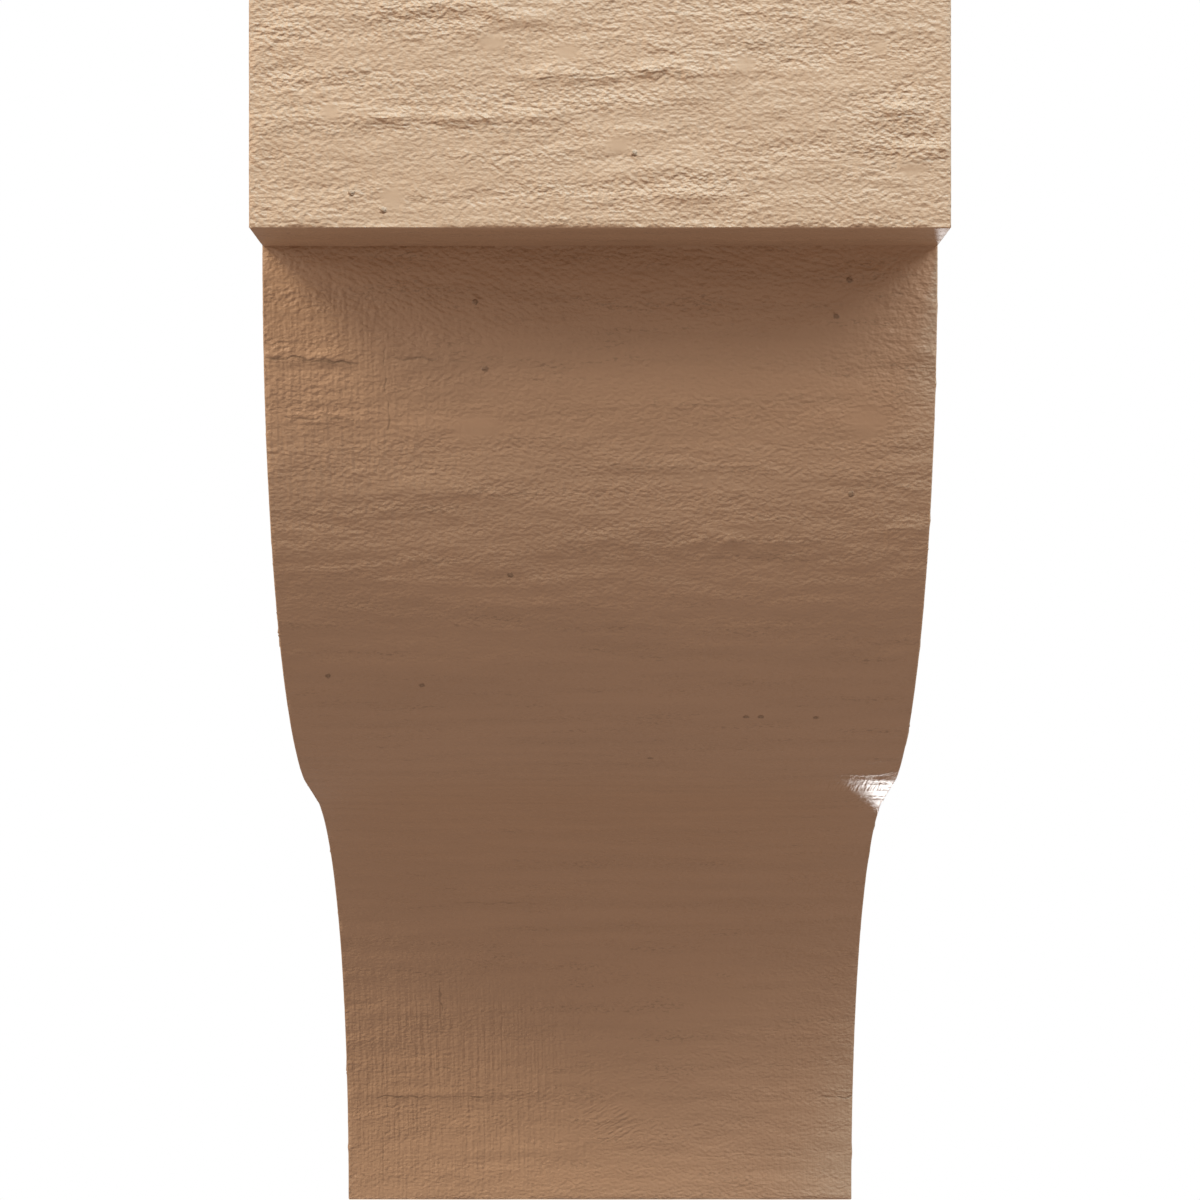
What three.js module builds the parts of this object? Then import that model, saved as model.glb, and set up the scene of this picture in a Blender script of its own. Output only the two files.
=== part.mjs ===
// A wall corbel moulded in one piece from rigid urethane foam, in the likeness of a rough-sawn timber.
// A plain square cap stands over a body whose front sweeps back to a narrow foot in a reverse curve:
// a convex arc, a short flat planed across the middle, and a concave arc of the same radius.
// Every section across the width is the same, so the corbel is one outline drawn out to its width.
// Units are millimetres. +Z is up, the wall is the plane y = 0 and the front looks along -Y.
// The origin is the centre of the back face, where the corbel is fixed to the wall.

import * as THREE from "three";

// Driving dimensions
const WIDTH = 152.4; // side to side, the same at the cap and the body
const HEIGHT = 304.8; // underside of the foot to the top of the cap
const PROJECTION = 304.8; // wall to the front of the cap
const CAP_HEIGHT = 50.8; // the square cap's front, top to bottom
const CAP_OVERHANG = 25.4; // how far the cap stands out past the top of the curve
const FOOT_DEPTH = 50.8; // wall to the front of the foot
const FLAT_LENGTH = 41.2; // straight run across the middle of the reverse curve
const ARC_STEPS = 14; // half the straight steps that stand for each arc

// Size of the reverse curve, from the front of the foot to the underside of the cap
const curveRise = HEIGHT - CAP_HEIGHT;
const curveRun = PROJECTION - CAP_OVERHANG - FOOT_DEPTH;

// Two equal arcs, upright at their outer ends, that would meet smoothly half way along the curve
const arcRadius = (curveRun ** 2 + curveRise ** 2) / (4 * curveRun);
const fullSweep = 2 * Math.atan2(curveRun, curveRise);

// The flat is a chord across that meeting point, and takes half its length off each arc
const flatSweep = 2 * Math.asin(FLAT_LENGTH / (4 * arcRadius));
const arcSweep = fullSweep - flatSweep;

// Side outline: the first coordinate runs out from the wall, the second up from the foot
function corbelOutline() {
  const outline = new THREE.Shape();
  outline.moveTo(0, 0);
  outline.lineTo(FOOT_DEPTH, 0);
  // Concave arc, from the foot up and outwards, about a centre out in front of the foot
  outline.absarc(FOOT_DEPTH + arcRadius, 0, arcRadius, Math.PI, Math.PI - arcSweep, true);
  // The flat is the straight line that joins it to the convex arc, which ends upright under the cap
  outline.absarc(FOOT_DEPTH + curveRun - arcRadius, curveRise, arcRadius, -arcSweep, 0, false);
  outline.lineTo(PROJECTION, curveRise);
  outline.lineTo(PROJECTION, HEIGHT);
  outline.lineTo(0, HEIGHT);
  outline.closePath();
  return outline;
}

// Primed tan, a dull sheen over the whole moulding
const tanPrimer = new THREE.MeshStandardMaterial({
  name: "tan_primer",
  color: new THREE.Color(0.6, 0.43, 0.29),
  roughness: 0.6,
  metalness: 0,
});

// The outline drawn out across the width, turned so that its first coordinate runs along -Y
function corbelBlock() {
  const geometry = new THREE.ExtrudeGeometry(corbelOutline(), {
    depth: WIDTH,
    bevelEnabled: false,
    curveSegments: ARC_STEPS,
  });
  const block = new THREE.Mesh(geometry, tanPrimer);
  block.name = "corbel";
  const outFromWall = new THREE.Vector3(0, -1, 0);
  const up = new THREE.Vector3(0, 0, 1);
  const across = new THREE.Vector3().crossVectors(outFromWall, up);
  block.quaternion.setFromRotationMatrix(new THREE.Matrix4().makeBasis(outFromWall, up, across));
  block.position.copy(across).multiplyScalar(-WIDTH / 2);
  return block;
}

const corbel = new THREE.Group();
corbel.position.z = -HEIGHT / 2;
corbel.add(corbelBlock());

export default corbel;
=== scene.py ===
# A wall corbel moulded in foam in the likeness of rough-sawn timber, shown from the front at its mid height.

import math
from typing import NamedTuple

import bmesh
import bpy
from bpy.props import FloatProperty, FloatVectorProperty, PointerProperty
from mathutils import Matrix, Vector


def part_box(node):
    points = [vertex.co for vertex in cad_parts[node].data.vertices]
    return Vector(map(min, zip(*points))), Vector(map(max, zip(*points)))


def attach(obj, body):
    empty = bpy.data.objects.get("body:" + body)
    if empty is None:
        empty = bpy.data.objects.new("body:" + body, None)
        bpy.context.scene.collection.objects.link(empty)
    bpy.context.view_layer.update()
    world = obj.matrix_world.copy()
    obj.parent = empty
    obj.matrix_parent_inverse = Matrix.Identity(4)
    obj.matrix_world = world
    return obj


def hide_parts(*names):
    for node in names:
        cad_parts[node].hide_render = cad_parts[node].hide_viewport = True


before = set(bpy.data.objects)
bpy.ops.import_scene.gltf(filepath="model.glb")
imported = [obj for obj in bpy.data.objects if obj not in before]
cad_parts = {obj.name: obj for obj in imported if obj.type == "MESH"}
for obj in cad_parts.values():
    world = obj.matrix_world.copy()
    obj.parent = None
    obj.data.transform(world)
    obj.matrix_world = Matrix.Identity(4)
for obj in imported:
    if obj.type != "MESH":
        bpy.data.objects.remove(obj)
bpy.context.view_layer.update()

bl_info = {
    "name": "Timber-look Wall Corbel",
    "version": (1, 0, 0),
    "blender": (4, 5, 0),
    "location": "3D Viewport > Sidebar > Corbel",
    "description": "Models a moulded wall corbel with rough-sawn grain, and the studio that shows it",
    "category": "Add Mesh",
}

BLOCK_LOW, BLOCK_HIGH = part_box("corbel")
MM = 0.001
WELD = 0.00001
WHITE = (1, 1, 1, 1)
QUARTER_TURN = math.radians(90)

# Names of the grain map and of the shares that the mesh carries
GRAIN_MAP = "grain"
RELIEF_MAP = "relief_share"
ROUGHNESS_MAP = "wrinkle_share"
SAW_MAP = "saw_share"

# What counts as a seam, a corner, a side and a part of the skin
SEAM_ANGLE = math.radians(40)
CORNER_ANGLE = math.radians(30)
SIDE_FACING = 0.7
SKIN_FACING = 0.35

# Share of the relief that the corners and the top take
ARRIS_SHARE = 0.1
TOP_SHARE = 0.3

# How far off on the grain map the sides and the back lie, in metres
SIDE_SHIFT = 2
BACK_SHIFT = 1

# What the lights aim at, and the place of the small one low behind
LIT_SPOT = (0, -0.2, 0)
GLINT_SPOT = (0.185, 0.77, -0.315)

# The floor
FLOOR_RADIUS = 2.5
FLOOR_SIDES = 96
FLOOR_PAINT = (0.92, 0.92, 0.92, 1)
FLOOR_ROUGHNESS = 0.9
FLOOR_GLOW = (0.8, 1.0, 1.0, 1)
FLOOR_GLOW_STRENGTH = 0.25


class CorbelSizes(bpy.types.PropertyGroup):
    """The block's own sizes, as the solid has them."""

    width: FloatProperty(
        name="Width", description="Side to side", unit="LENGTH",
        default=BLOCK_HIGH[0] - BLOCK_LOW[0],
    )
    height: FloatProperty(
        name="Height", description="Underside of the foot to the top of the cap", unit="LENGTH",
        default=BLOCK_HIGH[2] - BLOCK_LOW[2],
    )
    projection: FloatProperty(
        name="Projection", description="Wall to the front of the cap", unit="LENGTH",
        default=BLOCK_HIGH[1] - BLOCK_LOW[1],
    )
    cap_height: FloatProperty(
        name="Cap height", description="The square cap's front, top to bottom", unit="LENGTH",
        default=0.0508,
    )
    cap_overhang: FloatProperty(
        name="Cap overhang", description="How far the cap stands out past the top of the curve",
        unit="LENGTH", default=0.0254,
    )
    foot_depth: FloatProperty(
        name="Foot depth", description="Wall to the front of the foot", unit="LENGTH", default=0.0508,
    )
    flat_length: FloatProperty(
        name="Flat", description="Straight run across the middle of the curve", unit="LENGTH",
        default=0.0412,
    )
    arris: FloatProperty(
        name="Arris", description="Width taken off each sharp corner", unit="LENGTH", default=0.00025,
    )


class MeshPitch(bpy.types.PropertyGroup):
    """How closely the faces are divided, so that the grain can be raised in them."""

    column: FloatProperty(
        name="Column", description="Across the front, from side to side", unit="LENGTH", default=0.00115,
    )
    row: FloatProperty(
        name="Row", description="Down the front, along the curve", unit="LENGTH", default=0.001,
    )
    side_column: FloatProperty(
        name="Side column", description="Along the sides, from wall to front", unit="LENGTH",
        default=0.003,
    )
    side_row: FloatProperty(
        name="Side row", description="Up the sides", unit="LENGTH", default=0.0016,
    )
    plain: FloatProperty(
        name="Plain row", description="Rows of the top and the underside of the foot", unit="LENGTH",
        default=0.01,
    )


class SawnFinish(bpy.types.PropertyGroup):
    """The moulded grain and the primer over it."""

    wrinkle: FloatProperty(
        name="Wrinkle", description="Height of the fine wrinkles", unit="LENGTH", default=0.00035,
    )
    lump: FloatProperty(
        name="Lump", description="Height of the lumps", unit="LENGTH", default=0.00032,
    )
    ridge: FloatProperty(
        name="Ridge", description="Height of the long ridges", unit="LENGTH", default=0.00057,
    )
    wave: FloatProperty(
        name="Wave", description="Height of the slow waves of the sawn face", unit="LENGTH",
        default=0.0006,
    )
    saw_line: FloatProperty(
        name="Saw line", description="Height of the crossing lines a saw leaves", unit="LENGTH",
        default=0.0004,
    )
    hatch: FloatProperty(
        name="Hatch", description="Height of the slanting strokes on the foot", unit="LENGTH",
        default=0.0005,
    )
    # Painted shade: how much darker the primer is made in the creases, in the cracks and on the nibs
    painted_crease_shade: FloatProperty(
        name="Crease shade", description="How much darker the primer lies in the creases", default=0.3,
        min=0.0, max=1.0,
    )
    primer: FloatVectorProperty(
        name="Primer", description="Tan primer", subtype="COLOR", size=4,
        default=(0.6, 0.42, 0.275, 1.0), min=0.0, max=1.0,
    )
    sheen_roughness: FloatProperty(
        name="Roughness", description="How dull the primer's sheen is", default=0.5, min=0.0, max=1.0,
    )


class StudioSettings(bpy.types.PropertyGroup):
    """The camera, the lights and the floor."""

    camera_distance: FloatProperty(
        name="Camera distance", description="Front of the cap to the camera", unit="LENGTH",
        default=0.6405,
    )
    lens: FloatProperty(
        name="Lens", description="Focal length in millimetres", default=88.56,
    )
    horizon_drop: FloatProperty(
        name="Horizon drop", description="How far the horizon lies below the middle of the picture",
        default=0.0805,
    )
    floor_drop: FloatProperty(
        name="Floor drop", description="Foot of the corbel to the floor", unit="LENGTH", default=0.6,
    )
    light_distance: FloatProperty(
        name="Light distance", description="Middle of the corbel to each light", unit="LENGTH", default=1.5,
    )
    light_size: FloatProperty(
        name="Light size", description="Side of each soft light", unit="LENGTH", default=0.5,
    )
    key_power: FloatProperty(name="Key", description="Watts of the light above the front", default=15.6)
    key_colour: FloatVectorProperty(
        name="Key colour", description="Cool daylight", subtype="COLOR", default=(0.44, 0.79, 1.0),
    )
    right_power: FloatProperty(name="Right", description="Watts of the light at the right", default=8.0)
    right_colour: FloatVectorProperty(
        name="Right colour", description="Near white", subtype="COLOR", default=(1.0, 0.92, 0.88),
    )
    left_power: FloatProperty(name="Left", description="Watts of the light at the left", default=9.0)
    left_colour: FloatVectorProperty(
        name="Left colour", description="Warm white", subtype="COLOR", default=(1.0, 0.8, 0.58),
    )
    rake_power: FloatProperty(name="Rake", description="Watts of the low light from the left", default=5.0)
    rake_colour: FloatVectorProperty(
        name="Rake colour", description="Warm white", subtype="COLOR", default=(1.0, 0.89, 0.82),
    )
    glint_power: FloatProperty(
        name="Glint", description="Watts of the light low behind, which shows only as a sheen", default=11,
    )
    glint_size: FloatProperty(
        name="Glint size", description="Radius of the light low behind", unit="LENGTH", default=0.06,
    )
    edge_power: FloatProperty(
        name="Edge", description="Watts of the light square to the right side", default=3.0,
    )
    edge_colour: FloatVectorProperty(
        name="Edge colour", description="Pale daylight", subtype="COLOR", default=(0.8, 1.0, 0.98),
    )
    front_power: FloatProperty(name="Front", description="Watts of the light on the foot", default=1.0)
    front_colour: FloatVectorProperty(
        name="Front colour", description="Near white", subtype="COLOR", default=(0.8, 0.88, 0.9),
    )
    low_power: FloatProperty(name="Low", description="Watts of the light from underneath", default=0.6)
    low_colour: FloatVectorProperty(
        name="Low colour", description="Near white", subtype="COLOR", default=(1.0, 0.92, 0.88),
    )
    ambient: FloatProperty(name="Ambient", description="Strength of the light from all round", default=0.33)
    ambient_colour: FloatVectorProperty(
        name="Ambient colour", description="Light thrown back by a warm room", subtype="COLOR",
        default=(1.0, 0.75, 0.64),
    )


class Zone(NamedTuple):
    """A patch of the front, in millimetres across from the middle and down from the cap's top arris."""

    across: float
    down: float
    half_width: float
    half_height: float
    gain: float
    turn: float = 0.0


class Ledge(NamedTuple):
    """A torn ledge or, where it is sunk, a crack. Millimetres, and degrees turned from level."""

    across: float
    down: float
    reach: float
    height: float
    turn: float = 0.0


class Nib(NamedTuple):
    """A small raised speck, darkened with painted shade, in millimetres."""

    across: float
    down: float
    turn: float = 0.0


class Hatch(NamedTuple):
    """A patch of slanting strokes, and the size and turn of one stroke. Millimetres and degrees."""

    patch: Zone
    length: float
    width: float
    turn: float


class Pattern(NamedTuple):
    """A layer of noise: the size of its cells in metres, where it starts, and how finely it is broken up."""

    across: float
    down: float
    start: float
    detail: float = 0.0
    roughness: float = 0.5


class Drift(NamedTuple):
    """How places are pushed about: the size of the swirls and how far they reach, in metres."""

    cell: float
    reach: float


class Ramp(NamedTuple):
    """Two values, and what each becomes."""

    low: float
    high: float
    at_low: float = 0.0
    at_high: float = 1.0


class Lip(NamedTuple):
    """The section of a ledge or crack: how far it swells above its line and falls away below, in metres."""

    rise: float
    drop: float
    drift: Drift


class Lamp(NamedTuple):
    """A soft light's name, and its degrees round to the right and up from the front."""

    name: str
    round_to: float
    up: float
    spread: float = 1.0


ROUGH_ZONES = (
    Zone(across=-33, down=4, half_width=22, half_height=5, gain=0.6),
    Zone(across=-70, down=12, half_width=10, half_height=16, gain=0.3),
    Zone(across=10, down=20, half_width=26, half_height=6, gain=0.15),
    Zone(across=14, down=41, half_width=20, half_height=6, gain=0.4),
    Zone(across=66, down=29, half_width=14, half_height=12, gain=0.5),
    Zone(across=-66, down=104, half_width=16, half_height=26, gain=0.1),
    Zone(across=68, down=98, half_width=12, half_height=22, gain=0.4),
)
CALM_ZONES = (
    Zone(across=-46, down=40, half_width=32, half_height=12, gain=-0.12),
    Zone(across=-23.6, down=10.4, half_width=3.6, half_height=2.4, gain=-1),
    Zone(across=-7.2, down=12.5, half_width=3.4, half_height=2.4, gain=-1),
    Zone(across=-58.6, down=25.6, half_width=2.8, half_height=2.4, gain=-1),
    Zone(across=31.5, down=14.9, half_width=3.4, half_height=2.6, gain=-1),
    Zone(across=60.3, down=11.7, half_width=3, half_height=2.6, gain=-1),
    Zone(across=67.7, down=38.1, half_width=4.4, half_height=2.4, gain=-1),
    Zone(across=-44.9, down=44, half_width=3.6, half_height=3, gain=-1),
    Zone(across=3.9, down=32.7, half_width=3.4, half_height=2.6, gain=-1),
    Zone(across=61, down=116, half_width=7, half_height=5, gain=-0.7),
    Zone(across=-28.5, down=118, half_width=8, half_height=5, gain=-0.6),
    Zone(across=0, down=160, half_width=300, half_height=100, gain=-0.2),
    Zone(across=66, down=260, half_width=16, half_height=13, gain=-0.55),
    Zone(across=0, down=300, half_width=300, half_height=90, gain=-0.3),
    Zone(across=0, down=420, half_width=300, half_height=70, gain=-0.12),
)
SAWN_ZONES = (
    Zone(across=68, down=249, half_width=18, half_height=16, gain=1.3),
    Zone(across=-66, down=112, half_width=46, half_height=36, gain=0.75),
    Zone(across=-50, down=418, half_width=72, half_height=60, gain=1),
    Zone(across=60, down=430, half_width=40, half_height=40, gain=0.5),
    Zone(across=-50, down=150, half_width=50, half_height=30, gain=0.3),
)
LEDGES = (
    Ledge(across=0, down=17.4, reach=26, height=0.5, turn=4),
    Ledge(across=29, down=17.2, reach=24, height=0.5, turn=-1),
    Ledge(across=-30, down=27.4, reach=32, height=0.55),
    Ledge(across=-36, down=3.4, reach=20, height=0.4),
    Ledge(across=-17, down=6.2, reach=10, height=0.4, turn=-6),
    Ledge(across=14, down=38.7, reach=16, height=0.4),
    Ledge(across=16, down=44.2, reach=15, height=0.4),
    Ledge(across=70, down=26, reach=11, height=0.45),
    Ledge(across=66, down=30.5, reach=10, height=0.4, turn=8),
    Ledge(across=71, down=35.5, reach=10, height=0.4, turn=6),
    Ledge(across=73, down=100.6, reach=6, height=0.4),
    Ledge(across=70, down=142, reach=8, height=0.35),
    Ledge(across=-68, down=101.8, reach=16, height=0.7),
    Ledge(across=-64, down=110.8, reach=16, height=0.3),
    Ledge(across=-66, down=115.5, reach=14, height=0.35),
    Ledge(across=-44, down=133.4, reach=32, height=0.3),
    Ledge(across=12, down=127, reach=16, height=0.25),
    Ledge(across=36, down=145.4, reach=24, height=0.3),
    Ledge(across=2, down=146.5, reach=9, height=0.25),
    Ledge(across=-46, down=418, reach=34, height=0.5),
    Ledge(across=-2, down=419, reach=40, height=0.15),
    Ledge(across=-26, down=436.5, reach=28, height=0.25),
    Ledge(across=-58, down=443, reach=20, height=0.25),
)
CRACKS = (
    Ledge(across=-4, down=17.7, reach=22, height=-0.1, turn=4),
    Ledge(across=-33, down=28.3, reach=30, height=-0.09),
    Ledge(across=70, down=26.8, reach=10, height=-0.12),
    Ledge(across=70, down=36.2, reach=9, height=-0.09, turn=6),
    Ledge(across=-70, down=101.2, reach=8, height=-0.26),
    Ledge(across=-61, down=102, reach=9, height=-0.22, turn=-3),
    Ledge(across=-64, down=115, reach=10, height=-0.1),
    Ledge(across=-41.5, down=101.3, reach=7, height=-0.12),
    Ledge(across=-31.7, down=102, reach=3, height=-0.12),
    Ledge(across=-48.4, down=110, reach=15, height=-0.11, turn=90),
    Ledge(across=-30, down=346.9, reach=17, height=-0.13),
    Ledge(across=-47.3, down=386, reach=9, height=-0.12, turn=90),
    Ledge(across=-52, down=418.6, reach=26, height=-0.17),
    Ledge(across=72, down=418.4, reach=8, height=-0.15),
)
HATCHES = (
    Hatch(
        Zone(across=3, down=426, half_width=14, half_height=7, gain=0.8, turn=-40),
        length=5, width=0.8, turn=30,
    ),
    Hatch(
        Zone(across=-36, down=86, half_width=44, half_height=19, gain=0.5),
        length=3.4, width=0.9, turn=-28,
    ),
    Hatch(
        Zone(across=26, down=84, half_width=36, half_height=15, gain=0.4),
        length=3.4, width=0.9, turn=-14,
    ),
)
NIBS = (
    Nib(-54, 43.1), Nib(-47.1, 46.8), Nib(7.4, 34.5), Nib(-28.2, 88.7), Nib(-26.1, 103.8),
    Nib(56.4, 83.8), Nib(53.3, 91.9), Nib(57.7, 133.1), Nib(-21, 154.2), Nib(-65.4, 185.8),
    Nib(-43, 189.2), Nib(35.8, 202.3), Nib(39.4, 202.3), Nib(52.9, 202.8), Nib(12.6, 224.2),
)

# Layers of noise for the relief in the mesh
ROUGH_PATCHES = Pattern(across=24 * MM, down=9 * MM, start=21.9, detail=2)
ROUGH_ROWS = Pattern(across=60 * MM, down=5 * MM, start=91.1, detail=1)
LUMPS = Pattern(across=3.4 * MM, down=2.8 * MM, start=11.3)
RIDGES = Pattern(across=15 * MM, down=3.1 * MM, start=31.1, detail=1)
WAVES = Pattern(across=50 * MM, down=14 * MM, start=41.7, detail=1)
LEDGE_BREAKS = Pattern(across=7 * MM, down=3 * MM, start=15.1, detail=2)

# Layers of noise for the skin
FINE_WRINKLES = Pattern(across=1.2 * MM, down=0.85 * MM, start=61.9, detail=1, roughness=0.4)
BOLD_WRINKLES = Pattern(across=2.2 * MM, down=1.15 * MM, start=67.9)
BOLD_PATCHES = Pattern(across=11 * MM, down=4.5 * MM, start=69.3, detail=1)
# Spots where painted shade darkens the creases
SCRATCH_SHADE_SPOTS = Pattern(across=1.5 * MM, down=0.6 * MM, start=63.1, detail=2, roughness=0.6)
UPRIGHT_LINES = Pattern(across=1.1 * MM, down=20 * MM, start=71.3, detail=1)
LEVEL_LINES = Pattern(across=30 * MM, down=1.9 * MM, start=81.9, detail=1)
# Rows in which the painted crease shade gathers
SHADE_FLECK_ROWS = Pattern(across=22 * MM, down=3.4 * MM, start=95.7, detail=2)
MOTTLE = Pattern(across=60 * MM, down=6 * MM, start=51.3, detail=3)
STROKE_START = 17.3
DRIFT_START = 3.7

# How far each layer is pushed about
ROW_DRIFT = Drift(cell=20 * MM, reach=3 * MM)
ZONE_DRIFT = Drift(cell=9 * MM, reach=5 * MM)
FORM_DRIFT = Drift(cell=6 * MM, reach=0.6 * MM)
SKIN_DRIFT = Drift(cell=4 * MM, reach=0.4 * MM)
NIB_DRIFT = Drift(cell=0.7 * MM, reach=0.6 * MM)
# The rows of painted crease shade
SHADE_FLECK_DRIFT = Drift(cell=12 * MM, reach=4 * MM)
LEDGE_LIP = Lip(rise=3.6 * MM, drop=1.1 * MM, drift=Drift(cell=5 * MM, reach=3 * MM))
CRACK_LIP = Lip(rise=0.5 * MM, drop=0.4 * MM, drift=Drift(cell=4 * MM, reach=2.2 * MM))

# How strongly each layer tells
PATCH_STRENGTH = Ramp(low=0.34, high=0.66, at_low=0.9, at_high=1.1)
ROW_STRENGTH = Ramp(low=0.36, high=0.64, at_low=0.8, at_high=1.2)
LEDGE_STRENGTH = Ramp(low=0.35, high=0.6, at_low=0.4)
BOLD_STRENGTH = Ramp(low=0.42, high=0.68, at_high=0.65)
# Painted shade in the creases: its depth, its rows, and how it grows with the roughness
PAINTED_CREASE_SHADE = Ramp(low=-0.15, high=-0.01, at_low=1, at_high=0)
SHADE_FLECK_STRENGTH = Ramp(low=0.5, high=0.7, at_low=0.1, at_high=0.5)
SHADE_FLECK_BY_ROUGHNESS = Ramp(low=0.65, high=1.05, at_low=0.5, at_high=1.3)
NIB_SHAPE = Ramp(low=0.1 * MM, high=0.9 * MM, at_low=0.5 * MM, at_high=0)
MOTTLE_SHADE = Ramp(low=0.3, high=0.7, at_low=0.975, at_high=1.025)
FINE_SHARE = 0.95
UPRIGHT_SHARE = 0.8
LEVEL_SHARE = 0.22
LEAST_STRENGTH = 0.04

# Shares of a zone, a hatched patch and a ledge over which each keeps its full strength
ZONE_CORE = 0.35
HATCH_CORE = 0.5
LEDGE_CORE = 0.4

# Zones wider than this, in millimetres either way, have wandering edges
STILL_WIDTH = 5

# Depth of a crack and height of a nib at which their painted shade is darkest
DARK_CRACK = 0.15 * MM
DARK_NIB = 0.4 * MM

SOFT_LIGHTS = (
    Lamp("key", round_to=10, up=60),
    Lamp("right", round_to=50, up=40, spread=1.5),
    Lamp("left", round_to=-50, up=40),
    Lamp("rake", round_to=-70, up=20),
    Lamp("edge", round_to=90, up=20),
    Lamp("front", round_to=30, up=43),
    Lamp("low", round_to=90, up=-75),
)


class Curve:
    """The reverse curve of the front, worked out from the sizes. Out is from the wall, up from the foot."""

    def __init__(self, sizes):
        self.sizes = sizes
        self.rise = sizes.height - sizes.cap_height
        self.run = sizes.projection - sizes.cap_overhang - sizes.foot_depth
        self.radius = (self.run**2 + self.rise**2) / (4 * self.run)
        full_sweep = 2 * math.atan2(self.run, self.rise)
        flat_sweep = 2 * math.asin(sizes.flat_length / (4 * self.radius))
        self.sweep = full_sweep - flat_sweep
        self.flat_lean = full_sweep - flat_sweep / 2
        self.arc_length = self.radius * self.sweep
        self.upper_out = sizes.foot_depth + self.run - self.radius
        self.lower_out = sizes.foot_depth + self.radius
        self.flat_top = self.rise - self.radius * math.sin(self.sweep)
        self.flat_foot = self.radius * math.sin(self.sweep)

    def down_face(self, point, faces_up):
        """Distance from the cap's top arris to a point, measured down over the front."""
        sizes = self.sizes
        out = BLOCK_HIGH[1] - point.y
        up = point.z - BLOCK_LOW[2]
        behind_front = sizes.projection - out
        if faces_up:
            return (sizes.height - up) - behind_front
        if up > self.rise - WELD and behind_front < sizes.cap_overhang - WELD:
            return (sizes.height - up) + behind_front
        start = sizes.cap_height + sizes.cap_overhang
        if up > self.flat_top:
            return start + self.radius * math.atan2(self.rise - up, out - self.upper_out)
        if up > self.flat_foot:
            return start + self.arc_length + (self.flat_top - up) / math.cos(self.flat_lean)
        end = start + 2 * self.arc_length + sizes.flat_length
        if up > 2 * sizes.arris:
            return end - self.radius * math.atan2(up, self.lower_out - out)
        return end + sizes.foot_depth - out


def steps_for(length, pitch):
    """How many equal steps of about the pitch make up a length."""
    return max(1, round(length / pitch))


def draw_down(length, pitch, direction):
    """Draws the selected row of edges on in a straight run, in equal rows."""
    steps = steps_for(length, pitch)
    step = Vector(direction) * (length / steps)
    bpy.ops.mesh.extrude_repeat(steps=steps, offset=step, scale_offset=1.0)


def spin_down(curve, pitch, centre_out, centre_up, turn):
    """Spins the selected row of edges round an arc of the front."""
    bpy.ops.mesh.spin(
        steps=steps_for(curve.arc_length, pitch),
        angle=turn,
        center=(0, BLOCK_HIGH[1] - centre_out, BLOCK_LOW[2] + centre_up),
        axis=(1, 0, 0),
    )


def select_edges(mesh, wanted):
    """In edit mode, selects the edges that pass a test, and nothing else."""
    bpy.ops.mesh.select_all(action="DESELECT")
    editing = bmesh.from_edit_mesh(mesh)
    for edge in editing.edges:
        if wanted(edge):
            edge.select_set(True)
    bmesh.update_edit_mesh(mesh)


def draw_skin(sizes, pitch, curve):
    """The cap's front in rows, and from its foot the rest of the outline, back round to its top."""
    mid_cap = BLOCK_HIGH[2] - sizes.cap_height / 2
    bpy.ops.mesh.primitive_grid_add(
        x_subdivisions=1,
        y_subdivisions=steps_for(sizes.cap_height, pitch.row),
        size=1,
        location=(0, BLOCK_LOW[1], mid_cap),
        rotation=(QUARTER_TURN, 0, 0),
    )
    bpy.ops.transform.resize(value=(sizes.width, 1, sizes.cap_height))
    block = bpy.context.object
    block.name = block.data.name = "corbel_block"
    bpy.ops.object.transform_apply(location=True, rotation=True, scale=True)
    bpy.ops.object.mode_set(mode="EDIT")
    bpy.ops.mesh.select_mode(type="EDGE")
    cap_foot = BLOCK_HIGH[2] - sizes.cap_height
    select_edges(block.data, lambda edge: all(abs(v.co.z - cap_foot) < WELD for v in edge.verts))
    draw_down(sizes.cap_overhang, pitch.row, (0, 1, 0))
    spin_down(curve, pitch.row, curve.upper_out, curve.rise, -curve.sweep)
    flat_way = (0, math.sin(curve.flat_lean), -math.cos(curve.flat_lean))
    draw_down(sizes.flat_length, pitch.row, flat_way)
    spin_down(curve, pitch.row, curve.lower_out, 0, curve.sweep)
    draw_down(sizes.foot_depth, pitch.plain, (0, 1, 0))
    draw_down(sizes.height, sizes.height, (0, 0, 1))
    draw_down(sizes.projection, pitch.plain, (0, -1, 0))
    bpy.ops.mesh.select_all(action="SELECT")
    bpy.ops.mesh.remove_doubles(threshold=WELD)
    return block


def close_sides(block):
    """One flat face over each open end of the skin."""
    for side in (-1, 1):
        select_edges(block.data, lambda edge: edge.is_boundary and edge.verts[0].co.x * side > 0)
        bpy.ops.mesh.edge_face_add()
    bpy.ops.mesh.select_all(action="SELECT")
    bpy.ops.mesh.normals_make_consistent(inside=False)


def soften_arrises(block, sizes):
    """Takes a hair off every outward corner, apart from those against the wall."""
    def outward_corner(edge):
        on_wall = all(abs(v.co.y - BLOCK_HIGH[1]) < WELD for v in edge.verts)
        return not on_wall and edge.is_convex and edge.calc_face_angle(0) > SEAM_ANGLE

    select_edges(block.data, outward_corner)
    bpy.ops.mesh.bevel(offset=sizes.arris, offset_type="OFFSET", segments=1, affect="EDGES")


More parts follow.
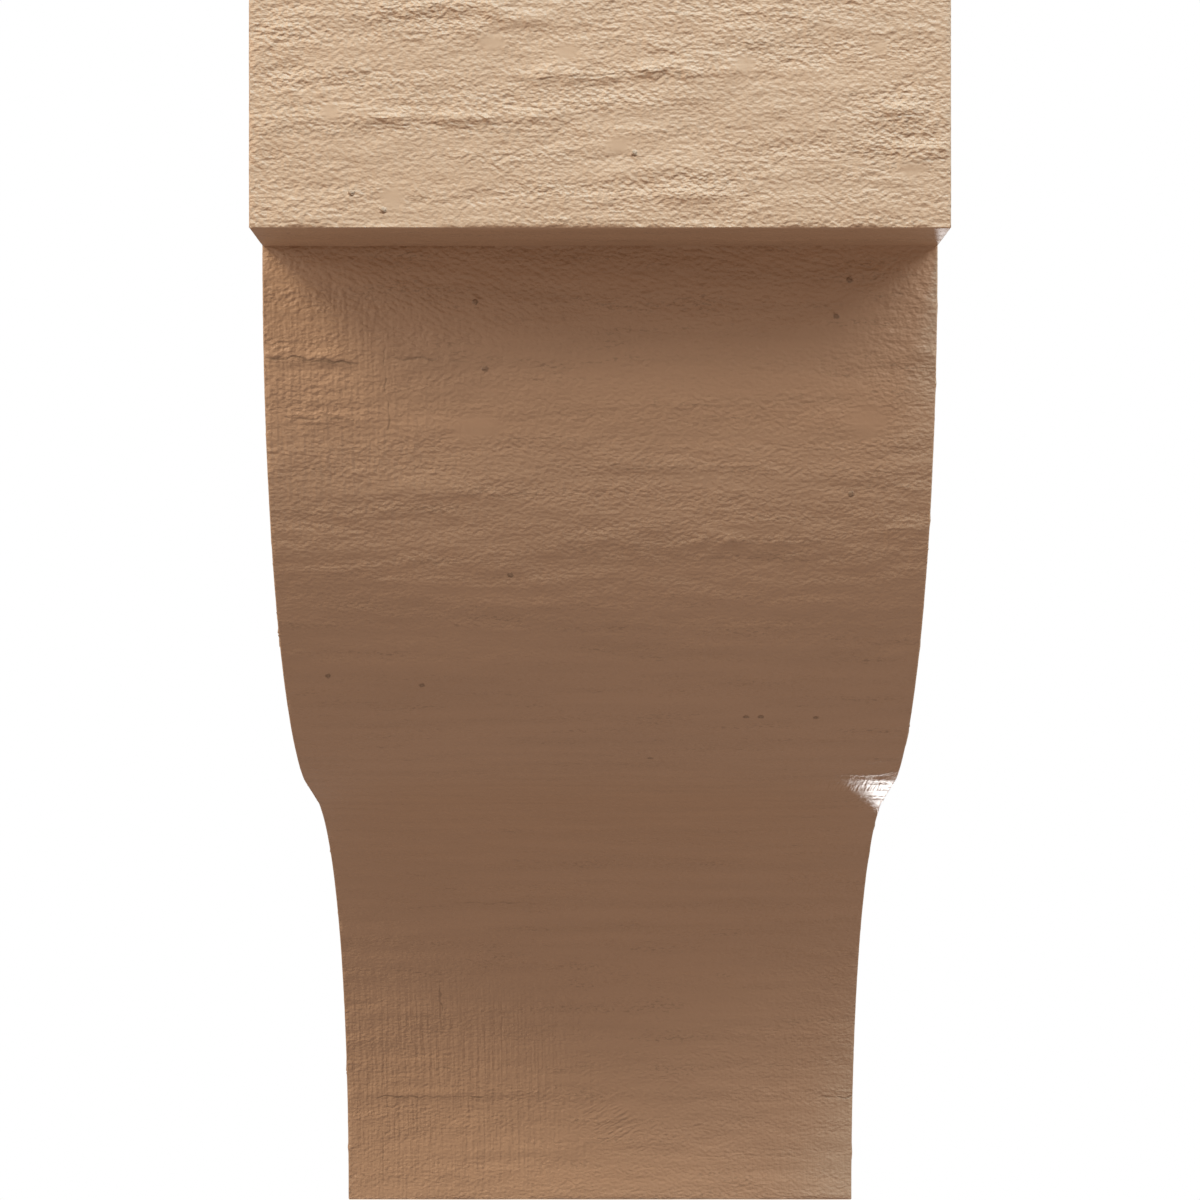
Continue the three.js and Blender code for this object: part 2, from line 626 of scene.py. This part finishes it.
def rule_faces(block, wanted, axis, length, pitch):
    """Cuts the faces that pass a test into equal strips along one axis."""
    bpy.ops.mesh.select_mode(type="FACE")
    bpy.ops.mesh.select_all(action="DESELECT")
    editing = bmesh.from_edit_mesh(block.data)
    for face in editing.faces:
        if wanted(face):
            face.select_set(True)
    bmesh.update_edit_mesh(block.data)
    bpy.ops.mesh.hide(unselected=True)
    cuts = steps_for(length, pitch)
    way = Vector((0, 0, 0))
    way[axis] = 1
    for cut in range(1, cuts):
        bpy.ops.mesh.select_all(action="SELECT")
        place = Vector(BLOCK_LOW) + way * (length * cut / cuts)
        bpy.ops.mesh.bisect(plane_co=place, plane_no=way, threshold=WELD)
    bpy.ops.mesh.reveal(select=False)


def rule_block(block, sizes, pitch):
    """Divides the sides both ways, and the skin from side to side."""
    def is_side(face):
        return abs(face.normal.x) > SIDE_FACING

    def is_skin(face):
        return abs(face.normal.x) < SKIN_FACING

    rule_faces(block, is_side, 2, sizes.height, pitch.side_row)
    rule_faces(block, is_side, 1, sizes.projection, pitch.side_column)
    rule_faces(block, is_skin, 0, sizes.width, pitch.column)
    bpy.ops.object.mode_set(mode="OBJECT")


def map_grain(block, curve):
    """Lays the grain map: across the front and down over it, and out from the wall on each side."""
    mesh = block.data
    layer = mesh.uv_layers[0] if mesh.uv_layers else mesh.uv_layers.new()
    layer.name = GRAIN_MAP
    for face in mesh.polygons:
        normal = face.normal
        on_side = abs(normal.x) > SIDE_FACING
        on_back = normal.y > SIDE_FACING and abs(face.center.y - BLOCK_HIGH[1]) < WELD
        faces_up = normal.z > SIDE_FACING
        for loop in face.loop_indices:
            place = mesh.vertices[mesh.loops[loop].vertex_index].co
            if on_side:
                spot = (place.y + math.copysign(SIDE_SHIFT, normal.x), place.z)
            elif on_back:
                spot = (place.x + BACK_SHIFT, place.z)
            else:
                spot = (place.x, -curve.down_face(place, faces_up))
            layer.data[loop].uv = spot


def mark_relief(block):
    """How much of the relief each point takes: all on a face, a little on a corner, none on the wall."""
    mesh = block.data
    shares = mesh.attributes.new(RELIEF_MAP, "FLOAT", "POINT")
    values = [1.0] * len(mesh.vertices)
    editing = bmesh.new()
    editing.from_mesh(mesh)
    for edge in editing.edges:
        if edge.calc_face_angle(0) > CORNER_ANGLE:
            for vert in edge.verts:
                values[vert.index] = ARRIS_SHARE
    for vert in editing.verts:
        if abs(vert.co.z - BLOCK_HIGH[2]) < WELD:
            values[vert.index] = min(values[vert.index], TOP_SHARE)
        if abs(vert.co.y - BLOCK_HIGH[1]) < WELD:
            values[vert.index] = 0.0
    editing.free()
    shares.data.foreach_set("value", values)


class Wiring:
    """Adds nodes to a tree and links them, for the material and the relief alike."""

    def __init__(self, tree):
        self.tree = tree

    def node(self, kind, **settings):
        made = self.tree.nodes.new(kind)
        for name, value in settings.items():
            setattr(made, name, value)
        return made

    def feed(self, socket, value):
        """Links a socket to the value, or sets it where the value is a number, vector or colour."""
        if isinstance(value, bpy.types.NodeSocket):
            self.tree.links.new(value, socket)
        else:
            socket.default_value = value

    def math(self, operation, first, second=0.0, clamp=False):
        made = self.node("ShaderNodeMath", operation=operation, use_clamp=clamp)
        self.feed(made.inputs[0], first)
        self.feed(made.inputs[1], second)
        return made.outputs[0]

    def vector(self, operation, first, second):
        made = self.node("ShaderNodeVectorMath", operation=operation)
        self.feed(made.inputs[0], first)
        self.feed(made.inputs[1], second)
        return made.outputs[0]

    def scaled(self, value, amount):
        """A vector or colour made so many times as large."""
        made = self.node("ShaderNodeVectorMath", operation="SCALE")
        self.feed(made.inputs[0], value)
        self.feed(made.inputs["Scale"], amount)
        return made.outputs[0]

    def noise(self, where, pattern):
        """The outputs of one layer of flat noise: values near a half, from zero to one."""
        cells = self.vector("MULTIPLY", where, (1 / pattern.across, 1 / pattern.down, 0))
        cells = self.vector("ADD", cells, (pattern.start, pattern.start, 0))
        made = self.node("ShaderNodeTexNoise", noise_dimensions="2D", noise_type="FBM", normalize=True)
        self.feed(made.inputs["Vector"], cells)
        self.feed(made.inputs["Scale"], 1.0)
        self.feed(made.inputs["Detail"], pattern.detail)
        self.feed(made.inputs["Roughness"], pattern.roughness)
        return made.outputs

    def centred_noise(self, where, pattern):
        """Flat noise with its middle at nought."""
        return self.math("SUBTRACT", self.noise(where, pattern)[0], 0.5)

    def parts(self, where):
        """How far to the right and how far up a place on the grain map lies."""
        made = self.node("ShaderNodeSeparateXYZ")
        self.feed(made.inputs[0], where)
        return made.outputs["X"], made.outputs["Y"]

    def joined(self, right, up):
        """The place that lies so far to the right and so far up."""
        made = self.node("ShaderNodeCombineXYZ")
        self.feed(made.inputs["X"], right)
        self.feed(made.inputs["Y"], up)
        return made.outputs[0]

    def distance(self, right, up):
        """The straight distance that two parts make."""
        square = self.total(self.product(right, right), self.product(up, up))
        return self.math("SQRT", square)

    def total(self, *values):
        whole = values[0]
        for value in values[1:]:
            whole = self.math("ADD", whole, value)
        return whole

    def product(self, *values):
        whole = values[0]
        for value in values[1:]:
            whole = self.math("MULTIPLY", whole, value)
        return whole

    def span(self, value, low, high, at_low=0.0, at_high=1.0):
        """Carries a value from one range to another, smoothly and no further."""
        made = self.node("ShaderNodeMapRange", interpolation_type="SMOOTHSTEP")
        for name, level in zip(("Value", "From Min", "From Max", "To Min", "To Max"),
                               (value, low, high, at_low, at_high)):
            self.feed(made.inputs[name], level)
        return made.outputs["Result"]


def wandered(wiring, where, drift):
    """The same place, pushed about a little, so that no ridge runs straight."""
    swirls = Pattern(across=drift.cell, down=drift.cell, start=DRIFT_START, detail=1)
    push = wiring.noise(where, swirls)["Color"]
    push = wiring.vector("SUBTRACT", push, (0.5, 0.5, 0.5))
    push = wiring.vector("MULTIPLY", push, (drift.reach, drift.reach, 0))
    return wiring.vector("ADD", where, push)


def turned(wiring, right, up, degrees):
    """The two parts of a place, measured along a line so many degrees from level and square to it."""
    level = math.cos(math.radians(degrees))
    steep = math.sin(math.radians(degrees))
    along = wiring.total(wiring.product(right, level), wiring.product(up, steep))
    above = wiring.math("SUBTRACT", wiring.product(up, level), wiring.product(right, steep))
    return along, above


def from_mark(wiring, spot, mark):
    """How far along a placed mark and how far up from it a spot lies, turned with the mark."""
    right = wiring.math("SUBTRACT", spot[0], mark.across * MM)
    up = wiring.math("ADD", spot[1], mark.down * MM)
    if not mark.turn:
        return right, up
    return turned(wiring, right, up, mark.turn)


def how_far(wiring, spot, zone):
    """How far out in a zone a spot is: nought in its middle, one at its edge."""
    along, above = from_mark(wiring, spot, zone)
    along = wiring.math("DIVIDE", along, zone.half_width * MM)
    above = wiring.math("DIVIDE", above, zone.half_height * MM)
    return wiring.distance(along, above)


def zone_strength(wiring, where, zones, start):
    """A starting level, raised or lowered in each zone towards its middle."""
    level = start
    still = wiring.parts(where)
    moved = wiring.parts(wandered(wiring, where, ZONE_DRIFT))
    for zone in zones:
        far = how_far(wiring, moved if zone.half_width > STILL_WIDTH else still, zone)
        level = wiring.total(level, wiring.span(far, ZONE_CORE, 1.0, zone.gain, 0.0))
    return wiring.math("MAXIMUM", level, LEAST_STRENGTH)


def ledge_height(wiring, spot, ledge, lip):
    """Height of one ledge: it swells over the rise above its line and falls away over the drop below it."""
    along, above = from_mark(wiring, spot, ledge)
    along = wiring.math("ABSOLUTE", along)
    taper = wiring.span(along, LEDGE_CORE * ledge.reach * MM, ledge.reach * MM, ledge.height * MM, 0.0)
    swell = wiring.span(above, 0.0, lip.rise, 1.0, 0.0)
    fall = wiring.span(above, -lip.drop, 0.0)
    return wiring.product(taper, wiring.product(swell, fall))


def all_ledges(wiring, where, ledges, lip):
    """The height of all the ledges, broken here and there along their length."""
    spot = wiring.parts(wandered(wiring, where, lip.drift))
    whole = wiring.span(wiring.noise(where, LEDGE_BREAKS)[0], *LEDGE_STRENGTH)
    total = 0.0
    for ledge in ledges:
        total = wiring.total(ledge_height(wiring, spot, ledge, lip), total)
    return wiring.product(total, whole)


def sawn_form(wiring, where, strength, finish):
    """Height of the grain's larger forms at a place on the grain map, in metres: these are in the mesh."""
    place = wandered(wiring, where, FORM_DRIFT)
    lump = wiring.product(wiring.centred_noise(place, LUMPS), strength, finish.lump)
    ridge = wiring.product(wiring.centred_noise(place, RIDGES), strength, finish.ridge)
    wave = wiring.product(wiring.centred_noise(where, WAVES), finish.wave)
    ledges = all_ledges(wiring, where, LEDGES, LEDGE_LIP)
    return wiring.total(lump, ridge, wave, ledges)


def all_wrinkles(wiring, where, place, strength, finish):
    """Height of the fine wrinkles, with bolder ones gathered in patches."""
    fine = wiring.product(wiring.centred_noise(where, FINE_WRINKLES), FINE_SHARE)
    gathered = wiring.span(wiring.noise(where, BOLD_PATCHES)[0], *BOLD_STRENGTH)
    bold = wiring.product(wiring.centred_noise(place, BOLD_WRINKLES), gathered)
    return wiring.product(wiring.total(fine, bold), strength, finish.wrinkle)


def all_lines(wiring, place, strength, sawn, finish):
    """Height of the upright lines the saw leaves and of the level lines of the grain."""
    upright = wiring.centred_noise(place, UPRIGHT_LINES)
    upright = wiring.product(upright, wiring.product(sawn, UPRIGHT_SHARE))
    level = wiring.centred_noise(place, LEVEL_LINES)
    level = wiring.product(level, wiring.product(strength, LEVEL_SHARE))
    return wiring.product(wiring.total(upright, level), finish.saw_line)


def all_strokes(wiring, place, finish):
    """Height of the slanting strokes in the hatched patches."""
    strokes = 0.0
    spot = wiring.parts(place)
    for hatch in HATCHES:
        share = finish.hatch * hatch.patch.gain
        hatched = wiring.span(how_far(wiring, spot, hatch.patch), HATCH_CORE, 1.0, share, 0.0)
        slant = wiring.joined(*turned(wiring, *spot, hatch.turn))
        stroke = Pattern(across=hatch.length * MM, down=hatch.width * MM, start=STROKE_START)
        strokes = wiring.total(wiring.product(wiring.centred_noise(slant, stroke), hatched), strokes)
    return strokes


def all_nibs(wiring, where):
    """Height of the raised specks, with ragged edges."""
    nibs = 0.0
    ragged = wiring.parts(wandered(wiring, where, NIB_DRIFT))
    for nib in NIBS:
        far = wiring.distance(*from_mark(wiring, ragged, nib))
        nibs = wiring.total(wiring.span(far, *NIB_SHAPE), nibs)
    return nibs


def all_painted_shade_flecks(wiring, where, strength):
    """How much painted shade darkens the creases, from nought to one: more in rows and where the grain is
    rough.
    """
    crease = wiring.span(wiring.centred_noise(where, SCRATCH_SHADE_SPOTS), *PAINTED_CREASE_SHADE)
    row = wiring.noise(wandered(wiring, where, SHADE_FLECK_DRIFT), SHADE_FLECK_ROWS)[0]
    row = wiring.span(row, *SHADE_FLECK_STRENGTH)
    return wiring.product(crease, row, wiring.span(strength, *SHADE_FLECK_BY_ROUGHNESS))


def sawn_skin(wiring, where, strength, sawn, finish):
    """The fine wrinkles, saw lines, cracks and nibs, which are finer than the mesh.

    Gives their height in metres, and the painted shade of the creases, the cracks and the nibs, from nought
    to one."""
    place = wandered(wiring, where, SKIN_DRIFT)
    wrinkles = all_wrinkles(wiring, where, place, strength, finish)
    lines = all_lines(wiring, place, strength, sawn, finish)
    strokes = all_strokes(wiring, place, finish)
    cracks = all_ledges(wiring, where, CRACKS, CRACK_LIP)
    nibs = all_nibs(wiring, where)
    painted_shade_flecks = all_painted_shade_flecks(wiring, where, strength)
    # Painted shade: the creases, the cracks by their depth and the nibs by their height are darkened in the
    # primer
    dark = wiring.math("MAXIMUM", painted_shade_flecks, wiring.product(cracks, -1 / DARK_CRACK))
    dark = wiring.math("MAXIMUM", dark, wiring.product(nibs, 1 / DARK_NIB), clamp=True)
    return wiring.total(wrinkles, lines, strokes, cracks, nibs), dark


def relief_nodes(finish):
    """A geometry node group that raises the sawn grain along the normals."""
    tree = bpy.data.node_groups.new("sawn_relief", "GeometryNodeTree")
    tree.interface.new_socket(name="Geometry", in_out="INPUT", socket_type="NodeSocketGeometry")
    tree.interface.new_socket(name="Geometry", in_out="OUTPUT", socket_type="NodeSocketGeometry")
    wiring = Wiring(tree)
    grain = wiring.node("GeometryNodeInputNamedAttribute", data_type="FLOAT_VECTOR")
    wiring.feed(grain.inputs["Name"], GRAIN_MAP)
    share = wiring.node("GeometryNodeInputNamedAttribute", data_type="FLOAT")
    wiring.feed(share.inputs["Name"], RELIEF_MAP)
    where = grain.outputs["Attribute"]
    patch = wiring.span(wiring.noise(where, ROUGH_PATCHES)[0], *PATCH_STRENGTH)
    row = wiring.noise(wandered(wiring, where, ROW_DRIFT), ROUGH_ROWS)[0]
    row = wiring.span(row, *ROW_STRENGTH)
    strength = wiring.product(patch, row)
    strength = zone_strength(wiring, where, ROUGH_ZONES + CALM_ZONES, strength)
    sawn = zone_strength(wiring, where, SAWN_ZONES, 0.0)
    height = wiring.product(sawn_form(wiring, where, strength, finish), share.outputs["Attribute"])
    source = wiring.node("NodeGroupInput")
    geometry = source.outputs["Geometry"]
    for name, value in ((ROUGHNESS_MAP, strength), (SAW_MAP, sawn)):
        store = wiring.node("GeometryNodeStoreNamedAttribute", data_type="FLOAT", domain="POINT")
        wiring.feed(store.inputs["Geometry"], geometry)
        wiring.feed(store.inputs["Name"], name)
        wiring.feed(store.inputs["Value"], value)
        geometry = store.outputs["Geometry"]
    normal = wiring.node("GeometryNodeInputNormal")
    raised = wiring.node("GeometryNodeSetPosition")
    wiring.feed(raised.inputs["Geometry"], geometry)
    wiring.feed(raised.inputs["Offset"], wiring.scaled(normal.outputs["Normal"], height))
    result = wiring.node("NodeGroupOutput")
    wiring.feed(result.inputs["Geometry"], raised.outputs["Geometry"])
    return tree


def raise_grain(block, finish):
    """Raises the grain in the mesh and applies it."""
    relief = block.modifiers.new("sawn_relief", "NODES")
    relief.node_group = relief_nodes(finish)
    bpy.ops.object.modifier_apply(modifier=relief.name)


def primer_material(finish):
    """Tan primer over moulded rough-sawn grain, with painted shade in its creases and cracks and on its
    nibs.
    """
    material = bpy.data.materials.new("tan_primer")
    material.use_nodes = True
    tree = material.node_tree
    wiring = Wiring(tree)
    shader = tree.nodes["Principled BSDF"]
    grain = wiring.node("ShaderNodeUVMap", uv_map=GRAIN_MAP).outputs["UV"]
    strength = wiring.node("ShaderNodeAttribute", attribute_name=ROUGHNESS_MAP).outputs["Fac"]
    sawn = wiring.node("ShaderNodeAttribute", attribute_name=SAW_MAP).outputs["Fac"]
    height, dark = sawn_skin(wiring, grain, strength, sawn, finish)
    bump = wiring.node("ShaderNodeBump")
    wiring.feed(bump.inputs["Height"], height)
    wiring.feed(bump.inputs["Distance"], 1.0)
    wiring.feed(bump.inputs["Strength"], 1.0)
    wiring.feed(shader.inputs["Normal"], bump.outputs["Normal"])
    mottle = wiring.span(wiring.noise(grain, MOTTLE)[0], *MOTTLE_SHADE)
    # The primer's tone: random mottle, times the painted shade in the creases, the cracks and on the nibs
    shade = wiring.product(mottle, wiring.span(dark, 0.0, 1.0, 1.0, 1 - finish.painted_crease_shade))
    wiring.feed(shader.inputs["Base Color"], wiring.scaled(finish.primer[:3], shade))
    shader.inputs["Roughness"].default_value = finish.sheen_roughness
    return material


class CORBEL_OT_block(bpy.types.Operator):
    """Model the moulded block, raise its grain and prime it."""

    bl_idname = "corbel.block"
    bl_label = "Moulded Block"
    bl_options = {"REGISTER", "UNDO"}

    def execute(self, context):
        sizes = context.scene.corbel_sizes
        pitch = context.scene.corbel_pitch
        finish = context.scene.corbel_finish
        curve = Curve(sizes)
        bpy.ops.object.select_all(action="DESELECT")
        block = draw_skin(sizes, pitch, curve)
        close_sides(block)
        soften_arrises(block, sizes)
        rule_block(block, sizes, pitch)
        map_grain(block, curve)
        mark_relief(block)
        raise_grain(block, finish)
        bpy.ops.object.shade_smooth_by_angle(angle=SEAM_ANGLE)
        block.data.materials.clear()
        block.data.materials.append(primer_material(finish))
        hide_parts("corbel")
        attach(block, "root")
        return {"FINISHED"}


def soft_light(studio, lamp):
    """A soft square light aimed at the corbel."""
    name = f"{lamp.name}_light"
    glow = bpy.data.lights.new(name, "AREA")
    glow.energy = getattr(studio, f"{lamp.name}_power")
    glow.color = getattr(studio, f"{lamp.name}_colour")
    glow.size = studio.light_size * lamp.spread
    light = bpy.data.objects.new(name, glow)
    bpy.context.scene.collection.objects.link(light)
    round_to = math.radians(lamp.round_to)
    up = math.radians(lamp.up)
    way = Vector((math.sin(round_to) * math.cos(up), -math.cos(round_to) * math.cos(up), math.sin(up)))
    light.location = Vector(LIT_SPOT) + way * studio.light_distance
    light.rotation_euler = way.to_track_quat("Z", "Y").to_euler()
    light.visible_camera = False


def glint(studio):
    """A small light that shows only as a sheen."""
    glow = bpy.data.lights.new("flat_glint", "POINT")
    glow.energy = studio.glint_power
    glow.shadow_soft_size = studio.glint_size
    light = bpy.data.objects.new("flat_glint", glow)
    bpy.context.scene.collection.objects.link(light)
    light.location = GLINT_SPOT
    light.visible_camera = False
    light.visible_diffuse = False


def place_camera(scene, studio):
    """A level camera in front of the cap, at the corbel's mid height."""
    lens = bpy.data.cameras.new("front_camera")
    lens.lens = studio.lens
    lens.shift_y = studio.horizon_drop
    camera = bpy.data.objects.new("front_camera", lens)
    scene.collection.objects.link(camera)
    camera.location = (0, BLOCK_LOW[1] - studio.camera_distance, 0)
    camera.rotation_euler = (QUARTER_TURN, 0, 0)
    scene.camera = camera


def light_world(scene, studio):
    """White behind the corbel, and a softer even light from all round."""
    world = bpy.data.worlds.new("studio_world")
    world.use_nodes = True
    scene.world = world
    wiring = Wiring(world.node_tree)
    background = world.node_tree.nodes["Background"]
    path = wiring.node("ShaderNodeLightPath")
    light = wiring.node("ShaderNodeMixRGB")
    wiring.feed(light.inputs["Fac"], path.outputs["Is Camera Ray"])
    wiring.feed(light.inputs["Color1"], (*(studio.ambient * part for part in studio.ambient_colour), 1))
    wiring.feed(light.inputs["Color2"], WHITE)
    wiring.feed(background.inputs["Color"], light.outputs["Color"])


def lay_floor(studio):
    """A plain pale floor, well below the corbel that hangs on its wall."""
    bpy.ops.object.select_all(action="DESELECT")
    bpy.ops.mesh.primitive_circle_add(
        vertices=FLOOR_SIDES, radius=FLOOR_RADIUS, fill_type="NGON",
        location=(0, 0, BLOCK_LOW[2] - studio.floor_drop),
    )
    floor = bpy.context.object
    floor.name = "studio_floor"
    bpy.ops.object.transform_apply(location=True, rotation=True, scale=True)
    pale = bpy.data.materials.new("pale_floor")
    pale.use_nodes = True
    shader = pale.node_tree.nodes["Principled BSDF"]
    shader.inputs["Base Color"].default_value = FLOOR_PAINT
    shader.inputs["Roughness"].default_value = FLOOR_ROUGHNESS
    shader.inputs["Emission Color"].default_value = FLOOR_GLOW
    shader.inputs["Emission Strength"].default_value = FLOOR_GLOW_STRENGTH
    pale.cycles.emission_sampling = "NONE"
    floor.data.materials.append(pale)
    floor.visible_diffuse = False
    floor.visible_glossy = False
    floor.visible_shadow = False


class CORBEL_OT_stage(bpy.types.Operator):
    """Set up the camera, the floor and the soft studio light."""

    bl_idname = "corbel.stage"
    bl_label = "Studio"
    bl_options = {"REGISTER", "UNDO"}

    def execute(self, context):
        scene = context.scene
        studio = scene.corbel_studio
        scene.view_settings.view_transform = "Standard"
        place_camera(scene, studio)
        light_world(scene, studio)
        lay_floor(studio)
        for lamp in SOFT_LIGHTS:
            soft_light(studio, lamp)
        glint(studio)
        return {"FINISHED"}


class CORBEL_PT_panel(bpy.types.Panel):
    """The corbel's sizes and finish, with its operators."""

    bl_idname = "CORBEL_PT_panel"
    bl_label = "Wall Corbel"
    bl_space_type = "VIEW_3D"
    bl_region_type = "UI"
    bl_category = "Corbel"

    def draw(self, context):
        for group in SETTINGS:
            settings = getattr(context.scene, group)
            box = self.layout.box()
            for name in settings.bl_rna.properties.keys():
                if name not in ("rna_type", "name"):
                    box.prop(settings, name)
        self.layout.operator(CORBEL_OT_block.bl_idname)
        self.layout.operator(CORBEL_OT_stage.bl_idname)


SETTINGS = {
    "corbel_sizes": CorbelSizes,
    "corbel_pitch": MeshPitch,
    "corbel_finish": SawnFinish,
    "corbel_studio": StudioSettings,
}
CLASSES = (*SETTINGS.values(), CORBEL_OT_block, CORBEL_OT_stage, CORBEL_PT_panel)


def register():
    for cls in CLASSES:
        bpy.utils.register_class(cls)
    for name, group in SETTINGS.items():
        setattr(bpy.types.Scene, name, PointerProperty(type=group))


def unregister():
    for name in SETTINGS:
        delattr(bpy.types.Scene, name)
    for cls in reversed(CLASSES):
        bpy.utils.unregister_class(cls)


def main():
    register()
    bpy.ops.corbel.block()
    bpy.ops.corbel.stage()


if __name__ == "__main__":
    main()
